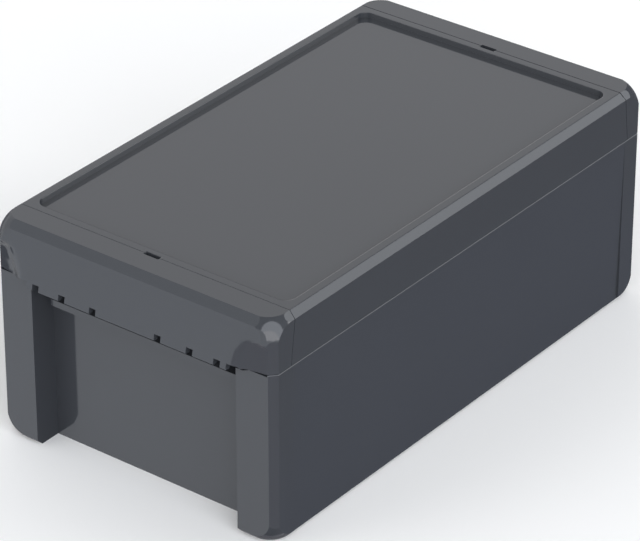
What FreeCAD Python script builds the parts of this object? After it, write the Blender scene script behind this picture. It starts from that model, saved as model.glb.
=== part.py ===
import FreeCAD, Part
import math
import os

# A two-part moulded project box with a closure bar at each end. The bars hinge on the base,
# hold the lid down along their slanted seams, and cover the mounting screws in the corner posts.
# Lengths are millimetres. Z = 0 is the underside, and the box is centred on X and Y.

# Overall sizes
post_half_length = 111.5
half_width = 62.5
height = 90.0
lid_depth = 20.1
parting_z = height - lid_depth
joint_gap = 0.3

# Edge chamfers, and the ball that rounds each outer corner
edge_chamfer = 2.5
end_chamfer = 2.8
corner_chamfer_x = 2.7
corner_depth = 10.0
corner_ball_radius = math.hypot(corner_depth, corner_depth - edge_chamfer)

# Base shell
floor_thickness = 3.0
wall_thickness = 3.0
end_recess_depth = 11.1
end_wall_x = post_half_length - end_recess_depth
post_width = 16.5
post_inner_y = half_width - post_width
post_top_gap = 0.8
post_notch_gap = 2.0
post_front_depth = 4.8
inside_corner_radius = 4.0
rim_bevel = 0.2
side_draft = 0.75

# Mounting channels in the corner posts
mount_x = post_half_length - 6.0
mount_y = half_width - 8.0
mount_hole_radius = 2.25
mount_head_radius = 3.9
mount_seat_z = 5.0

# Circuit board bosses
boss_end_inset = 16.4
boss_x = end_wall_x - boss_end_inset
boss_side_inset = 15.5
boss_y = half_width - boss_side_inset
boss_radius = 3.6
boss_hole_radius = 1.3
boss_height = 8.0
boss_hole_depth = 7.0

# Lid
seam_top_inset = 12.1
seam_top_x = post_half_length - seam_top_inset
seam_foot_x = post_half_length - 9.7
seam_gap = 0.25
lid_wall = 5.0
lid_top_thickness = 2.6
recess_half_x = seam_top_x - 3.2
recess_half_y = half_width - 5.75
recess_depth = 2.15
recess_corner_radius = 4.5
lid_rib_width = 1.6
lid_rib_depth = 6.0
lid_rib_spacing = 48.0

# Seal between base and lid
tongue_width = 1.5
tongue_height = 3.3
tongue_clearance = 0.4
gasket_height = 2.0

# Closure bars
bar_top_x = post_half_length - 2.6
lip_x = post_half_length + 4.0
lip_z = parting_z - 1.9
lip_bevel = 0.5
lip_half_width = post_inner_y - 1.3
flare_half_width = post_inner_y + 0.8
flare_fall_width = 5.8
flare_fall_spread = 0.45
bar_wall = 2.4
facet_top_z = height - 9.0
facet_blend = 2.4
facet_lean = 0.167
notch_top_z = parting_z + 0.8
slot_half_length = 3.35
slot_half_width = 1.0
slot_depth = 3.5

# Hinge between each bar and the base
hinge_x = post_half_length - 0.5
hinge_z = parting_z + 2.7
hinge_pin_radius = 1.25
hinge_bore_clearance = 0.08
knuckle_radius = 2.5
knuckle_mouth = 2.1
lug_shares = (0.3174, 0.6239, 0.8848)
lug_places = [share * post_inner_y for share in lug_shares]
lug_half_thickness = 1.0
lug_nose_radius = 1.6
lug_arm_low = 1.3
lug_clearance = 0.45
lug_room_radius = 2.6
ledge_x = post_half_length - 5.5
ledge_drop = 11.9
ledge_low_z = parting_z - ledge_drop
ledge_high_z = parting_z - 9.3
ledge_half_width = post_inner_y - 4.0

far = 130.0
end_signs = (-1, 1)


def point(x, y, z):
    return FreeCAD.Vector(x, y, z)


def box(x_low, x_high, y_low, y_high, z_low, z_high):
    corner = point(x_low, y_low, z_low)
    return Part.makeBox(x_high - x_low, y_high - y_low, z_high - z_low, corner)


def prism(outline, along):
    wire = Part.makePolygon(outline + outline[:1])
    return Part.Face(wire).extrude(along)


def y_prism(outline, y_low, y_high):
    corners = [point(x, y_low, z) for x, z in outline]
    return prism(corners, point(0, y_high - y_low, 0))


def x_prism(outline, x_low, x_high):
    corners = [point(x_low, y, z) for y, z in outline]
    return prism(corners, point(x_high - x_low, 0, 0))


def z_prism(outline, z_low, z_high):
    corners = [point(x, y, z_low) for x, y in outline]
    return prism(corners, point(0, 0, z_high - z_low))


def rounded_block(half_x, half_y, radius, z_low, z_high):
    block = box(-half_x, half_x, -half_y, half_y, z_low, z_high)
    uprights = [e for e in block.Edges if abs(e.tangentAt(e.FirstParameter).z) > 0.99]
    return block.makeFillet(radius, uprights)


def at_both_ends(shape):
    turned = shape.copy()
    turned.rotate(point(0, 0, 0), point(0, 0, 1), 180)
    return [shape, turned]


def slab_outline(x, z, chamfer_x, chamfer_z):
    """Half width x from z = 0 up to z with both upper corners cut."""
    return [(-x, 0), (x, 0), (x, z - chamfer_z), (x - chamfer_x, z), (chamfer_x - x, z), (-x, z - chamfer_z)]


def corner_outline(half_x):
    """Plan outline whose cut corners pass through the corner posts' chamfers, out to half_x."""
    slope = edge_chamfer / corner_chamfer_x
    shoulder_x = post_half_length - corner_chamfer_x
    tip_y = half_width - slope * (half_x - shoulder_x)
    return [
        (half_x, -tip_y), (half_x, tip_y), (shoulder_x, half_width), (-shoulder_x, half_width),
        (-half_x, tip_y), (-half_x, -tip_y), (-shoulder_x, -half_width), (shoulder_x, -half_width),
    ]


def corner_knobs(centre_x, centre_z, up):
    """What stands outside the ball at each of the four corners, above or below centre_z."""
    knobs = []
    centre_y = half_width - corner_depth
    z_low, z_high = sorted((centre_z, centre_z + up * 2 * corner_depth))
    for sign_x in end_signs:
        for sign_y in end_signs:
            x_low, x_high = sorted((sign_x * centre_x, sign_x * (centre_x + 2 * corner_depth)))
            y_low, y_high = sorted((sign_y * centre_y, sign_y * (centre_y + 2 * corner_depth)))
            corner = box(x_low, x_high, y_low, y_high, z_low, z_high)
            ball = Part.makeSphere(corner_ball_radius, point(sign_x * centre_x, sign_y * centre_y, centre_z))
            knobs.append(corner.cut(ball))
    return knobs


def lower_envelope():
    """Outer form of the base, with its bottom edges and corners cut."""
    c = edge_chamfer
    ends = [
        (c - post_half_length, 0), (post_half_length - c, 0), (post_half_length, c),
        (post_half_length, parting_z), (-post_half_length, parting_z), (-post_half_length, c),
    ]
    sides = [
        (c - half_width, 0), (half_width - c, 0), (half_width, c),
        (half_width, parting_z), (-half_width, parting_z), (-half_width, c),
    ]
    form = z_prism(corner_outline(post_half_length), 0, parting_z)
    form = form.common(y_prism(ends, -half_width, half_width))
    form = form.common(x_prism(sides, -post_half_length, post_half_length))
    return form.cut(corner_knobs(post_half_length - corner_depth, corner_depth, -1))


def upper_envelope():
    """Outer form of the lid with its bars, left long at the ends for the bars' own surface."""
    reach = lip_x + 1
    drop = reach - bar_top_x
    ends = [
        (-bar_top_x, height), (bar_top_x, height), (reach, height - drop),
        (reach, 0), (-reach, 0), (-reach, height - drop),
    ]
    sides = slab_outline(half_width, height, edge_chamfer, edge_chamfer)
    form = z_prism(corner_outline(reach), lip_z, height)
    form = form.common(y_prism(ends, -half_width, half_width))
    form = form.common(x_prism(sides, -reach, reach))
    centre_x = bar_top_x + end_chamfer - corner_depth
    return form.cut(corner_knobs(centre_x, height - corner_depth, 1))


def seam_x(z, offset):
    """Where the lid's slanted end stands at height z, moved outwards by offset."""
    share = (height - z) / (height - parting_z)
    return seam_top_x + offset + share * (seam_foot_x - seam_top_x)


def seam_block(offset, z_low):
    """Everything between the two seams."""
    top_x = seam_x(height + 1, offset)
    low_x = seam_x(z_low, offset)
    outline = [(-low_x, z_low), (low_x, z_low), (top_x, height + 1), (-top_x, height + 1)]
    return y_prism(outline, -far, far)


def soft_step(share):
    """0 below 0, 1 above 1, with a soft bend at both."""
    share = min(max(share, 0), 1)
    return share * share * (3 - 2 * share)


def bar_face_x(y, z):
    """The bar's outer face: it flares out to the lip, and falls back to a facet over each post."""
    shoulder_x = bar_top_x + end_chamfer
    shoulder_z = height - end_chamfer
    flare_x = shoulder_x + (lip_x - shoulder_x) * (shoulder_z - z) / (shoulder_z - lip_z)
    facet_x = post_half_length + facet_lean * (half_width - edge_chamfer - abs(y))
    fall_width = flare_fall_width + flare_fall_spread * max(z - parting_z, 0)
    across = soft_step((abs(y) - flare_half_width) / fall_width)
    below = soft_step((facet_top_z - z) / facet_blend + 0.5)
    return flare_x + (min(facet_x, flare_x) - flare_x) * across * below


def face_columns():
    """Y places to sample the bar's face at, close together where it falls back."""
    near = flare_half_width - 8
    reach = half_width + 2
    middle = [near * step / 8 for step in range(8)]
    outer = [near + (reach - near) * step / 20 for step in range(21)]
    half = middle + outer
    return [-y for y in reversed(half[1:])] + half


def bar_face_block():
    """Everything inside the bar's outer face, on the +X end."""
    rows = 19
    low = lip_z - 2
    high = height + 2
    heights = [low + (high - low) * row / (rows - 1) for row in range(rows)]
    grid = [[point(bar_face_x(y, z), y, z) for z in heights] for y in face_columns()]
    surface = Part.BSplineSurface()
    surface.interpolate(grid)
    return surface.toShape().extrude(point(-(lip_x - seam_top_x + 6), 0, 0))


def bar_hollow():
    """The open space behind the bar's top, outer face and flanks."""
    under_top = height - bar_wall
    inner_y = half_width - bar_wall
    corner_wall_x = post_half_length - bar_wall
    slope = (lip_x - bar_top_x - end_chamfer) / (height - end_chamfer - lip_z)
    face_top_x = bar_top_x + end_chamfer - bar_wall
    lip_inner_x = lip_x - bar_wall
    chamfer_drop = 1.6
    middle = [
        (seam_top_x - 8, lip_z - 1), (lip_inner_x + slope, lip_z - 1),
        (face_top_x, under_top - chamfer_drop), (face_top_x - chamfer_drop, under_top),
        (seam_top_x - 8, under_top),
    ]
    corners = [
        (seam_top_x - 8, lip_z - 1), (corner_wall_x, lip_z - 1),
        (corner_wall_x, under_top - chamfer_drop), (corner_wall_x - chamfer_drop, under_top),
        (seam_top_x - 8, under_top),
    ]
    hollow = y_prism(middle, -lip_half_width, lip_half_width)
    wide = y_prism(corners, -inner_y, inner_y)
    rounding_edge = post_half_length - corner_depth
    knobs = corner_knobs(rounding_edge - bar_wall, height - corner_depth - bar_wall, 1)
    return hollow.fuse(wide.cut(knobs))


def bar_foot_cuts():
    """Material taken off the bar's foot: over the posts, at the lugs, and a bevel on the lip."""
    over_post_z = parting_z + joint_gap / 2
    low = lip_z - 3
    reach = lip_x + 4
    over_posts = [
        (lip_half_width, low), (lip_half_width, notch_top_z), (post_inner_y + 3, notch_top_z),
        (post_inner_y + 3.8, over_post_z), (far, over_post_z), (far, low),
    ]
    cuts = []
    for sign in end_signs:
        cuts.append(x_prism([(sign * y, z) for y, z in over_posts], seam_top_x - 8, reach))
        for place in lug_places:
            middle = sign * place
            half = lug_half_thickness + lug_clearance
            cuts.append(box(seam_top_x, reach, middle - half, middle + half, low, notch_top_z))
    bevel = [(lip_x - lip_bevel - 1, lip_z - 1), (lip_x + 1, lip_z - 1), (lip_x + 1, lip_z + lip_bevel + 1)]
    return cuts + [y_prism(bevel, -half_width, half_width)]


def hinge_cylinder(radius, y_low, y_high):
    return Part.makeCylinder(radius, y_high - y_low, point(hinge_x, y_low, hinge_z), point(0, 1, 0))


def hinge_block(outline, y_low, y_high):
    """A prism along the hinge axis, from an outline around that axis."""
    return y_prism([(hinge_x + x, hinge_z + z) for x, z in outline], y_low, y_high)


def octagon(radius):
    half = radius * math.tan(math.pi / 8)
    return [
        (radius, -half), (radius, half), (half, radius), (-half, radius),
        (-radius, half), (-radius, -half), (-half, -radius), (half, -radius),
    ]


def knuckle_spans():
    """Stretches of the hinge axis between neighbouring lugs, on both sides of the middle."""
    clear = lug_half_thickness + lug_clearance
    spans = []
    for near, away in zip(lug_places[:-1], lug_places[1:]):
        spans.append((near + clear, away - clear))
        spans.append((-away + clear, -near - clear))
    return spans


def bar_knuckles():
    """Open clips that snap on the hinge pins from outside, each backed by a web to the bar's face."""
    reach = lip_x - bar_wall - hinge_x
    tip = knuckle_radius - 0.9
    outline = [
        (reach, -knuckle_radius), (reach, knuckle_radius), (-tip, knuckle_radius),
        (-knuckle_radius, tip), (-knuckle_radius, -tip), (-tip, -knuckle_radius),
    ]
    knuckles = []
    for y_low, y_high in knuckle_spans():
        bore = hinge_cylinder(hinge_pin_radius + hinge_bore_clearance, y_low - 1, y_high + 1)
        mouth = box(hinge_x - 2 * knuckle_radius, hinge_x, y_low - 1, y_high + 1,
                    hinge_z - knuckle_mouth / 2, hinge_z + knuckle_mouth / 2)
        knuckles.append(hinge_block(outline, y_low, y_high).cut([bore, mouth]))
    return knuckles


def pin_room():
    """Space for the pins and lug noses behind the bar's face."""
    span = lug_places[-1] + lug_half_thickness + lug_clearance
    room = []
    for sign in end_signs:
        y_low, y_high = sorted((sign * (lug_places[0] - lug_half_thickness - lug_clearance), sign * span))
        room.append(hinge_cylinder(hinge_pin_radius + hinge_bore_clearance, y_low, y_high))
        for place in lug_places:
            half = lug_half_thickness + lug_clearance
            room.append(hinge_block(octagon(lug_room_radius), sign * place - half, sign * place + half))
    return room


def slot_cut():
    return box(seam_top_x - slot_half_width, seam_top_x + slot_half_width,
               -slot_half_length, slot_half_length, height - slot_depth, height + 1)


def make_bar():
    """The closure bar at the +X end."""
    form = upper_envelope().common(bar_face_block())
    form = form.cut(seam_block(seam_gap, lip_z - 4))
    form = form.cut([bar_hollow()] + bar_foot_cuts())
    form = form.fuse(bar_knuckles())
    return form.cut(pin_room() + [slot_cut()]).removeSplitter()


def tongue_ring(grow, z_low, z_high):
    """A frame that follows the inside of the base's rim, wider by grow on both faces."""
    inner_x = end_wall_x - wall_thickness - grow
    inner_y = half_width - wall_thickness - grow
    width = tongue_width + 2 * grow
    outer = rounded_block(inner_x + width, inner_y + width, inside_corner_radius + width, z_low, z_high)
    inner = rounded_block(inner_x, inner_y, inside_corner_radius, z_low - 1, z_high + 1)
    return outer.cut(inner)


def lid_cavity():
    half_x = seam_top_x - lid_wall
    half_y = half_width - lid_wall
    ceiling = height - recess_depth - lid_top_thickness
    cavity = rounded_block(half_x, half_y, inside_corner_radius, parting_z - 5, ceiling)
    count = int(half_x // lid_rib_spacing)
    ribs = []
    for step in range(-count, count + 1):
        middle = step * lid_rib_spacing
        ribs.append(box(middle - lid_rib_width / 2, middle + lid_rib_width / 2,
                        -half_y - 1, half_y + 1, ceiling - lid_rib_depth, ceiling + 1))
    return cavity.cut(ribs)


def make_lid():
    """One moulding with a recessed top panel, stiffening ribs below and a groove for the seal."""
    base_gap_z = parting_z + joint_gap / 2
    form = upper_envelope().common(seam_block(0, base_gap_z))
    recess = rounded_block(recess_half_x, recess_half_y, recess_corner_radius, height - recess_depth, height + 1)
    groove_top = parting_z + tongue_height + gasket_height
    groove = tongue_ring(tongue_clearance, parting_z - 1, groove_top)
    return form.cut([recess, lid_cavity(), groove] + at_both_ends(slot_cut())).removeSplitter()


def make_gasket():
    low = parting_z + tongue_height
    return tongue_ring(tongue_clearance, low, low + gasket_height)


def side_drafts():
    """Thin wedges off the long sides between the posts, so the main wall leans in downwards."""
    lean = parting_z * math.tan(math.radians(side_draft))
    outline = [(half_width - lean, 0), (half_width, parting_z), (far, parting_z), (far, 0)]
    wedge = x_prism(outline, -end_wall_x, end_wall_x)
    return at_both_ends(wedge)


def hinge_lug(middle):
    """An arm that rises from the end wall, turns outwards and carries the hinge pins at its nose."""
    y_low = middle - lug_half_thickness
    y_high = middle + lug_half_thickness
    column_x = seam_foot_x + 1
    arm_low = hinge_z - lug_arm_low
    arm_high = hinge_z + lug_nose_radius
    arm = [
        (end_wall_x - 0.5, parting_z - 6.4), (end_wall_x, parting_z - 6.4), (ledge_x - 1.2, arm_low - 1.2),
        (ledge_x, arm_low), (hinge_x, arm_low), (hinge_x, arm_high), (column_x + 1.5, arm_high),
        (column_x, arm_high - 1.5), (column_x, parting_z - 1.3), (end_wall_x - 0.5, parting_z - 4),
    ]
    return y_prism(arm, y_low, y_high).fuse(hinge_block(octagon(lug_nose_radius), y_low, y_high))


def base_hinge():
    """The ledge, lugs and pins that carry the bar at the +X end."""
    ledge = box(end_wall_x - 0.5, ledge_x, -ledge_half_width, ledge_half_width, ledge_low_z, ledge_high_z)
    pieces = [hinge_lug(sign * place) for sign in end_signs for place in lug_places]
    for sign in end_signs:
        y_low, y_high = sorted((sign * lug_places[0], sign * lug_places[-1]))
        pieces.append(hinge_cylinder(hinge_pin_radius, y_low, y_high))
    return ledge.fuse(pieces)


def mount_channels():
    channels = []
    for sign_x in end_signs:
        for sign_y in end_signs:
            middle = (sign_x * mount_x, sign_y * mount_y)
            channels.append(Part.makeCylinder(mount_hole_radius, mount_seat_z + 2, point(*middle, -1)))
            channels.append(Part.makeCylinder(mount_head_radius, height, point(*middle, mount_seat_z)))
    return channels


def board_bosses():
    bosses = []
    for x in (-boss_x, 0, boss_x):
        for y in (-boss_y, boss_y):
            foot = point(x, y, floor_thickness - 0.5)
            hole_z = floor_thickness + boss_height - boss_hole_depth
            post = Part.makeCylinder(boss_radius, boss_height + 0.5, foot)
            bosses.append(post.cut(Part.makeCylinder(boss_hole_radius, boss_hole_depth + 1, point(x, y, hole_z))))
    return bosses


def post_steps():
    """Room over the posts' front edge for the bar's foot to swing through."""
    shallow = parting_z - post_top_gap
    deep = parting_z - post_notch_gap
    outline = [
        (0, deep), (post_inner_y + 3.2, deep), (post_inner_y + 5.8, shallow),
        (half_width - edge_chamfer - 0.3, shallow), (half_width - edge_chamfer - 0.3, height), (0, height),
    ]
    low_x = post_half_length - post_front_depth
    steps = []
    for sign in end_signs:
        steps += at_both_ends(x_prism([(sign * y, z) for y, z in outline], low_x, far))
    return steps


def rim_bevel_cut(start, end, outward):
    """A wedge that bevels the rim's outer edge from start to end."""
    top = parting_z - joint_gap / 2
    along = (end - start).normalize() * 5
    foot = start - along
    profile = [
        foot - outward * rim_bevel + point(0, 0, top), foot + outward + point(0, 0, top - rim_bevel - 1),
        foot + outward + point(0, 0, top),
    ]
    return prism(profile, end + along - foot)


def rim_bevels():
    """Small bevels along the base's upper outer edges, on the long sides and the corner posts."""
    shoulder_x = post_half_length - corner_chamfer_x
    front_y = half_width - edge_chamfer
    wedges = []
    for sign in end_signs:
        side = [point(-shoulder_x, sign * half_width, 0), point(shoulder_x, sign * half_width, 0)]
        wedges.append(rim_bevel_cut(*side, point(0, sign, 0)))
        corner = [point(shoulder_x, sign * half_width, 0), point(post_half_length, sign * front_y, 0)]
        outward = point(edge_chamfer, sign * corner_chamfer_x, 0).normalize()
        wedges += at_both_ends(rim_bevel_cut(*corner, outward))
    return wedges


def make_base():
    """One moulding: shell, corner posts with mounting channels, board bosses and the bars' hinges."""
    rim_top = parting_z - joint_gap / 2
    cavity = rounded_block(end_wall_x - wall_thickness, half_width - wall_thickness, inside_corner_radius,
                           floor_thickness, height)
    recess = box(end_wall_x, far, -post_inner_y, post_inner_y, -1, height)
    above_rim = box(-far, far, -far, far, rim_top, height)
    form = lower_envelope().cut([cavity, above_rim] + at_both_ends(recess) + post_steps())
    form = form.cut(side_drafts() + mount_channels() + rim_bevels())
    tongue = tongue_ring(0, rim_top - 2, parting_z + tongue_height)
    return form.fuse([tongue] + at_both_ends(base_hinge()) + board_bosses()).removeSplitter()


def save(shape, name):
    solid = shape.Solids[0] if len(shape.Solids) == 1 else shape
    solid.exportStep("parts/" + name + ".step")
    print(name, "solids", len(shape.Solids), "valid", shape.isValid(), "volume", round(shape.Volume))


def main():
    os.makedirs("parts", exist_ok=True)
    rear_bar, front_bar = at_both_ends(make_bar())
    save(make_base(), "base")
    save(make_lid(), "lid")
    save(make_gasket(), "lid_gasket")
    save(front_bar, "front_closure_bar")
    save(rear_bar, "rear_closure_bar")


main()
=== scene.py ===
import math
import bmesh
import bpy
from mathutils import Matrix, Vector

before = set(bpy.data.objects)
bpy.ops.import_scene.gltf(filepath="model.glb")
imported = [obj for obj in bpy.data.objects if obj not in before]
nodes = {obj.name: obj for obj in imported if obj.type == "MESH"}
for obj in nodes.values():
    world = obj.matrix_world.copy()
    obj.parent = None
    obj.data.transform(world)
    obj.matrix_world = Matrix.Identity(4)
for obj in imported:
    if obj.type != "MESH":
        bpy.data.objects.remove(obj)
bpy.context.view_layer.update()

# Inputs A and B and the result of a Mix node, by what it mixes
mixSockets = {
    "VECTOR": (4, 5, 1),
    "RGBA": (6, 7, 2),
}


def newMaterial(name):
    material = bpy.data.materials.new(name)
    material.use_nodes = True
    tree = material.node_tree
    return material, tree, tree.nodes["Principled BSDF"]


def addNode(tree, kind, **values):
    node = tree.nodes.new(kind)
    for key, value in values.items():
        if key in node.inputs:
            node.inputs[key].default_value = value
        else:
            setattr(node, key, value)
    return node


def noiseOnObject(tree, scale, detail):
    coords = addNode(tree, "ShaderNodeTexCoord")
    noise = addNode(tree, "ShaderNodeTexNoise", Scale=scale, Detail=detail)
    tree.links.new(coords.outputs["Object"], noise.inputs["Vector"])
    return noise


def colorDrift(tree, noise, color, low, high):
    ramp = addNode(tree, "ShaderNodeValToRGB")
    tree.links.new(noise.outputs["Fac"], ramp.inputs["Fac"])
    for element, gain in zip(ramp.color_ramp.elements, (low, high)):
        element.color = [channel * gain for channel in color] + [1.0]
    return ramp.outputs["Color"]


def addMix(tree, kind, factor, first):
    # gives back the second input, still open, and the result
    firstPlace, secondPlace, resultPlace = mixSockets[kind]
    node = addNode(tree, "ShaderNodeMix", data_type=kind)
    tree.links.new(factor, node.inputs["Factor"])
    tree.links.new(first, node.inputs[firstPlace])
    return node.inputs[secondPlace], node.outputs[resultPlace]


def mapRange(tree, source, low, high):
    node = addNode(tree, "ShaderNodeMapRange")
    node.inputs["To Min"].default_value = low
    node.inputs["To Max"].default_value = high
    tree.links.new(source, node.inputs["Value"])
    return node.outputs["Result"]


plasticSet = {
    "color": (0.040, 0.043, 0.049),
    "shade": 0.03,           # how far the colour drifts over the moulding
    "driftScale": 14.0,
    "driftDetail": 3.0,
    "roughness": 0.08,
    "roughnessDrift": 0.02,
    "ior": 1.5,
    "edgeRadius": 0.0004,    # metres, how far the lid's top edges are softened
    "edgeFloor": 0.0885,     # metres, the height above which they are softened
    "edgeSamples": 8,
}


def makePlastic(name, values):
    material, tree, shader = newMaterial(name)
    shader.inputs["IOR"].default_value = values["ior"]
    drift = noiseOnObject(tree, values["driftScale"], values["driftDetail"])
    color = colorDrift(tree, drift, values["color"], 1 - values["shade"], 1 + values["shade"])
    tree.links.new(color, shader.inputs["Base Color"])
    low = values["roughness"] - values["roughnessDrift"]
    high = values["roughness"] + values["roughnessDrift"]
    tree.links.new(mapRange(tree, drift.outputs["Fac"], low, high), shader.inputs["Roughness"])
    return material


def softenTopEdges(material, values):
    tree = material.node_tree
    shader = tree.nodes["Principled BSDF"]
    place = addNode(tree, "ShaderNodeSeparateXYZ")
    tree.links.new(addNode(tree, "ShaderNodeTexCoord").outputs["Object"], place.inputs["Vector"])
    above = addNode(tree, "ShaderNodeMath", operation="GREATER_THAN")
    above.inputs[1].default_value = values["edgeFloor"]
    tree.links.new(place.outputs["Z"], above.inputs[0])
    soft = addNode(tree, "ShaderNodeBevel", samples=values["edgeSamples"], Radius=values["edgeRadius"])
    plain = addNode(tree, "ShaderNodeNewGeometry")
    second, normal = addMix(tree, "VECTOR", above.outputs["Value"], plain.outputs["Normal"])
    tree.links.new(soft.outputs["Normal"], second)
    tree.links.new(normal, shader.inputs["Normal"])


rubberSet = {
    "color": (0.012, 0.012, 0.013),
    "shadeLow": 0.8,
    "shadeHigh": 1.3,
    "roughness": 0.55,
    "poreScale": 900.0,
    "poreDetail": 4.0,
    "poreStrength": 0.05,
    "poreDepth": 0.0002,     # metres
}


def makeRubber(name, values):
    material, tree, shader = newMaterial(name)
    shader.inputs["Roughness"].default_value = values["roughness"]
    pores = noiseOnObject(tree, values["poreScale"], values["poreDetail"])
    color = colorDrift(tree, pores, values["color"], values["shadeLow"], values["shadeHigh"])
    tree.links.new(color, shader.inputs["Base Color"])
    bump = addNode(tree, "ShaderNodeBump", Strength=values["poreStrength"], Distance=values["poreDepth"])
    tree.links.new(pores.outputs["Fac"], bump.inputs["Height"])
    tree.links.new(bump.outputs["Normal"], shader.inputs["Normal"])
    return material


def paint(obj, material):
    for slot in obj.material_slots:
        slot.material = material
    if not obj.material_slots:
        obj.data.materials.append(material)


cameraSet = {
    "azimuth": -52.36,       # degrees, 0 looks along +Y
    "elevation": 30.17,      # degrees above the horizon
    "distance": 1.5461,      # metres from the target
    "target": (0.0799, 0.0655, -0.0218),
    "lens": 217.9,           # mm
    "sensor": 36.0,          # mm across
    "clipStart": 0.01,
    "clipEnd": 50.0,
}


def makeCamera(values):
    azimuth = math.radians(values["azimuth"])
    elevation = math.radians(values["elevation"])
    back = Vector((math.sin(azimuth) * math.cos(elevation),
                   -math.cos(azimuth) * math.cos(elevation), math.sin(elevation)))
    data = bpy.data.cameras.new("photoCamera")
    data.sensor_width = values["sensor"]
    data.lens = values["lens"]
    data.clip_start = values["clipStart"]
    data.clip_end = values["clipEnd"]
    camera = bpy.data.objects.new("photoCamera", data)
    bpy.context.scene.collection.objects.link(camera)
    camera.location = Vector(values["target"]) + back * values["distance"]
    camera.rotation_euler = (math.pi / 2 - elevation, 0, azimuth)
    bpy.context.scene.camera = camera


studioSet = {
    "base": (0.88, 0.88, 0.89),
    "strength": 1.0,
    # name: direction, degrees within which it is full, degrees past which it is gone, radiance.
    # Each patch covers those before it, and those below the horizon show in reflections only.
    "softPatches": {
        "topSky": ((0.685, 0.528, 0.503), 20.0, 45.0, (0.97, 0.97, 0.99)),
        "topGap": ((0.69, 0.02, 0.72), 16.0, 26.0, (0.05, 0.05, 0.06)),
        "endSky": ((-0.48, 0.58, 0.66), 15.0, 30.0, (0.80, 0.83, 0.87)),
        "lowDark": ((0.685, -0.528, -0.503), 18.0, 44.0, (0.06, 0.055, 0.06)),
        "baseSide": ((0.688, -0.313, -0.653), 12.8, 14.2, (0.08, 0.085, 0.13)),
        "leftRim": ((0.02, 0.95, -0.20), 20.0, 38.0, (0.66, 0.67, 0.69)),
        "lowBack": ((0.70, 0.50, -0.52), 36.0, 53.0, (0.18, 0.18, 0.20)),
        "backRim": ((0.60, 0.79, 0.14), 10.0, 19.0, (1.15, 1.15, 1.17)),
        "right": ((0.98, -0.15, 0.12), 14.0, 24.0, (0.13, 0.13, 0.15)),
        "frontLow": ((-0.62, 0.76, -0.18), 2.0, 36.0, (1.08, 1.13, 1.21)),
        "under": ((0.10, 0.0, -0.99), 24.0, 40.0, (0.22, 0.22, 0.24)),
        "sideBox": ((0.685, -0.503, 0.528), 9.0, 16.0, (2.34, 2.41, 2.50)),
        "sideBoxEnd": ((0.45, -0.72, 0.53), 10.0, 13.0, (2.34, 2.41, 2.50)),
        "sideKey": ((0.62, -0.75, 0.25), 17.5, 20.5, (4.50, 4.50, 4.50)),
        "frontHalo": ((-0.45, -0.60, 0.66), 50.0, 60.0, (0.30, 0.31, 0.32)),
        "frontBox": ((-0.55, -0.69, 0.44), 33.0, 35.5, (2.74, 2.86, 3.06)),
        "frontBoxLow": ((-0.75, -0.65, 0.05), 28.0, 30.5, (3.65, 3.65, 3.75)),
        "leftCut": ((-1.0, 0.0, 0.0), 31.5, 33.5, (1.02, 1.06, 1.10)),
        "lowCut": ((-0.40, -0.50, -0.77), 51.3, 53.0, (1.02, 1.06, 1.10)),
        "frontKey": ((-0.80, 0.50, 0.33), 12.0, 20.0, (3.00, 3.00, 3.00)),
        "lowFront": ((-0.45, -0.21, -0.866), 41.5, 47.0, (0.32, 0.30, 0.35)),
        "facetLow": ((-0.90, 0.20, -0.38), 17.2, 20.4, (0.32, 0.30, 0.35)),
        "foot": ((-0.25, -0.17, -0.95), 12.0, 25.0, (0.04, 0.04, 0.05)),
        "lowLeft": ((-0.405, 0.765, -0.50), 2.8, 4.4, (0.02, 0.02, 0.04)),
    },
}


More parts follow.
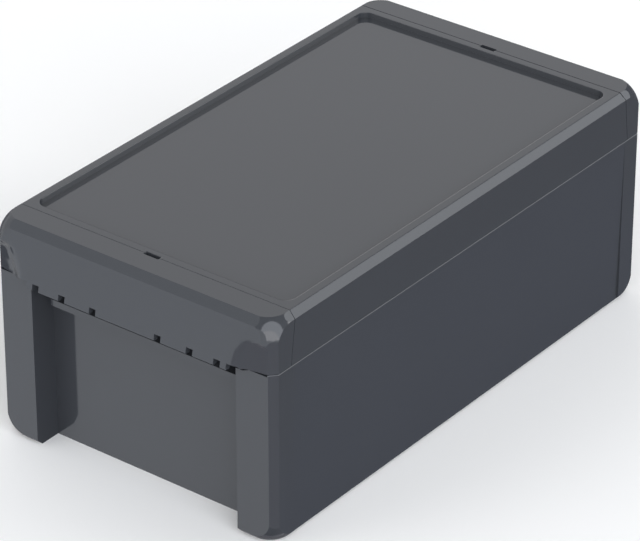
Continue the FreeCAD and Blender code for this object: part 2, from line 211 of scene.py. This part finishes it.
def addPatch(tree, coords, before, direction, inside, outside, radiance):
    towards = Vector(direction).normalized()
    dot = addNode(tree, "ShaderNodeVectorMath", operation="DOT_PRODUCT")
    tree.links.new(coords, dot.inputs[0])
    dot.inputs[1].default_value = towards
    share = addNode(tree, "ShaderNodeMapRange", interpolation_type="SMOOTHSTEP")
    share.inputs["From Min"].default_value = math.cos(math.radians(outside))
    share.inputs["From Max"].default_value = math.cos(math.radians(inside))
    tree.links.new(dot.outputs["Value"], share.inputs["Value"])
    second, result = addMix(tree, "RGBA", share.outputs["Result"], before)
    second.default_value = radiance + (1.0,)
    return result


def makeStudio(values):
    world = bpy.data.worlds.new("studio")
    world.use_nodes = True
    tree = world.node_tree
    background = tree.nodes["Background"]
    background.inputs["Strength"].default_value = values["strength"]
    coords = addNode(tree, "ShaderNodeTexCoord").outputs["Generated"]
    base = addNode(tree, "ShaderNodeRGB")
    base.outputs["Color"].default_value = values["base"] + (1.0,)
    light = base.outputs["Color"]
    for patch in values["softPatches"].values():
        light = addPatch(tree, coords, light, *patch)
    tree.links.new(light, background.inputs["Color"])
    bpy.context.scene.world = world


floorSet = {
    "size": 12.0,            # metres
    "color": (0.97, 0.96, 0.94),
    "roughness": 0.9,
}


def makeFloor(values):
    mesh = bpy.data.meshes.new("studioFloor")
    build = bmesh.new()
    bmesh.ops.create_grid(build, x_segments=1, y_segments=1, size=values["size"] / 2)
    build.to_mesh(mesh)
    build.free()
    floor = bpy.data.objects.new("studioFloor", mesh)
    bpy.context.scene.collection.objects.link(floor)
    floor.visible_glossy = False
    material, tree, shader = newMaterial("paleFloor")
    shader.inputs["Base Color"].default_value = values["color"] + (1.0,)
    shader.inputs["Roughness"].default_value = values["roughness"]
    mesh.materials.append(material)


makeCamera(cameraSet)
makeStudio(studioSet)
makeFloor(floorSet)
bpy.context.scene.view_settings.view_transform = "Standard"
print("camera and stage ready")

plastic = makePlastic("graphitePlastic", plasticSet)
lidPlastic = makePlastic("lidPlastic", plasticSet)
softenTopEdges(lidPlastic, plasticSet)
rubber = makeRubber("sealRubber", rubberSet)
nodeMaterials = {
    "base": plastic,
    "lid": lidPlastic,
    "lid_gasket": rubber,
    "front_closure_bar": plastic,
    "rear_closure_bar": plastic,
}
for nodeName, node in nodes.items():
    paint(node, nodeMaterials[nodeName])
print("materials on", len(nodes), "nodes")
